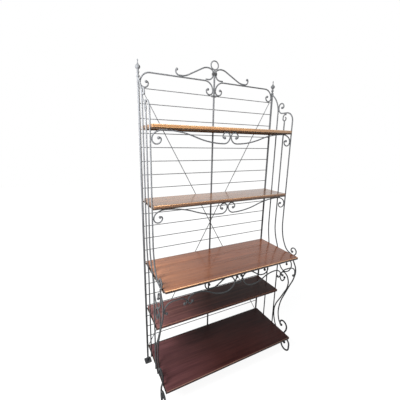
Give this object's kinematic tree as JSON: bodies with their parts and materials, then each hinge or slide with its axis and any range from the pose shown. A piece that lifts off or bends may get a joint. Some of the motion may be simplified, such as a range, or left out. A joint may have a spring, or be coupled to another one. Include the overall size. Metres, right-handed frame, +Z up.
{
  "type": "bakers rack",
  "caption": "Tall scrolled iron rack with wooden shelves: shallow display shelves above a deep work shelf, a shallow shelf and a deep bottom shelf below.",
  "frame": {"origin": "on the floor, at the middle of the rack's width and depth", "axes": "+Z up, +X to the right seen from the front, front towards -Y"},
  "size_m": [1.064, 0.441, 2.1459],
  "materials": {
    "iron": "dark pewter grey, satin, slightly uneven",
    "upper_wood": "golden brown stain under satin lacquer",
    "work_wood": "reddish brown stain under gloss lacquer",
    "lower_wood": "dark mahogany stain under satin lacquer",
    "screw_steel": "zinc-plated"
  },
  "bodies": {
    "root": {"apron_1_left": "iron", "apron_1_right": "iron", "apron_2_left": "iron", "apron_2_right": "iron", "back_rods_1": "iron", "back_rods_2": "iron", "back_rods_3": "iron", "back_rods_4": "iron", "back_rods_5": "iron", "brace_long": "iron", "brace_lower": "iron", "brace_upper": "iron", "centre_bar": "iron", "crest_clip": "iron", "crest_collar": "iron", "crest_rail_left": "iron", "crest_rail_right": "iron", "crest_ring": "iron", "crest_swan_left": "iron", "crest_swan_right": "iron", "finial_left": "iron", "finial_right": "iron", "foot_scroll_left": "iron", "foot_scroll_right": "iron", "leg_inner_left": "iron", "leg_inner_right": "iron", "leg_outer_left": "iron", "leg_outer_right": "iron", "rear_foot_left": "iron", "rear_foot_right": "iron", "rear_post_left": "iron", "rear_post_right": "iron", "shelf_1_board": "upper_wood", "shelf_1_frame": "iron", "shelf_2_board": "upper_wood", "shelf_2_frame": "iron", "shelf_3_board": "work_wood", "shelf_3_frame": "iron", "shelf_4_board": "lower_wood", "shelf_4_frame": "iron", "shelf_5_board": "lower_wood", "shelf_5_frame": "iron", "shelf_screws": "screw_steel", "side_scroll_left": "iron", "side_scroll_right": "iron", "side_upright_front_left": "iron", "side_upright_front_right": "iron", "side_upright_middle_left": "iron", "side_upright_middle_right": "iron", "side_upright_rear_left": "iron", "side_upright_rear_right": "iron", "work_hook_left": "iron", "work_hook_right": "iron", "work_swag": "iron", "work_sweep_left": "iron", "work_sweep_right": "iron"}
  },
  "joints": []
}
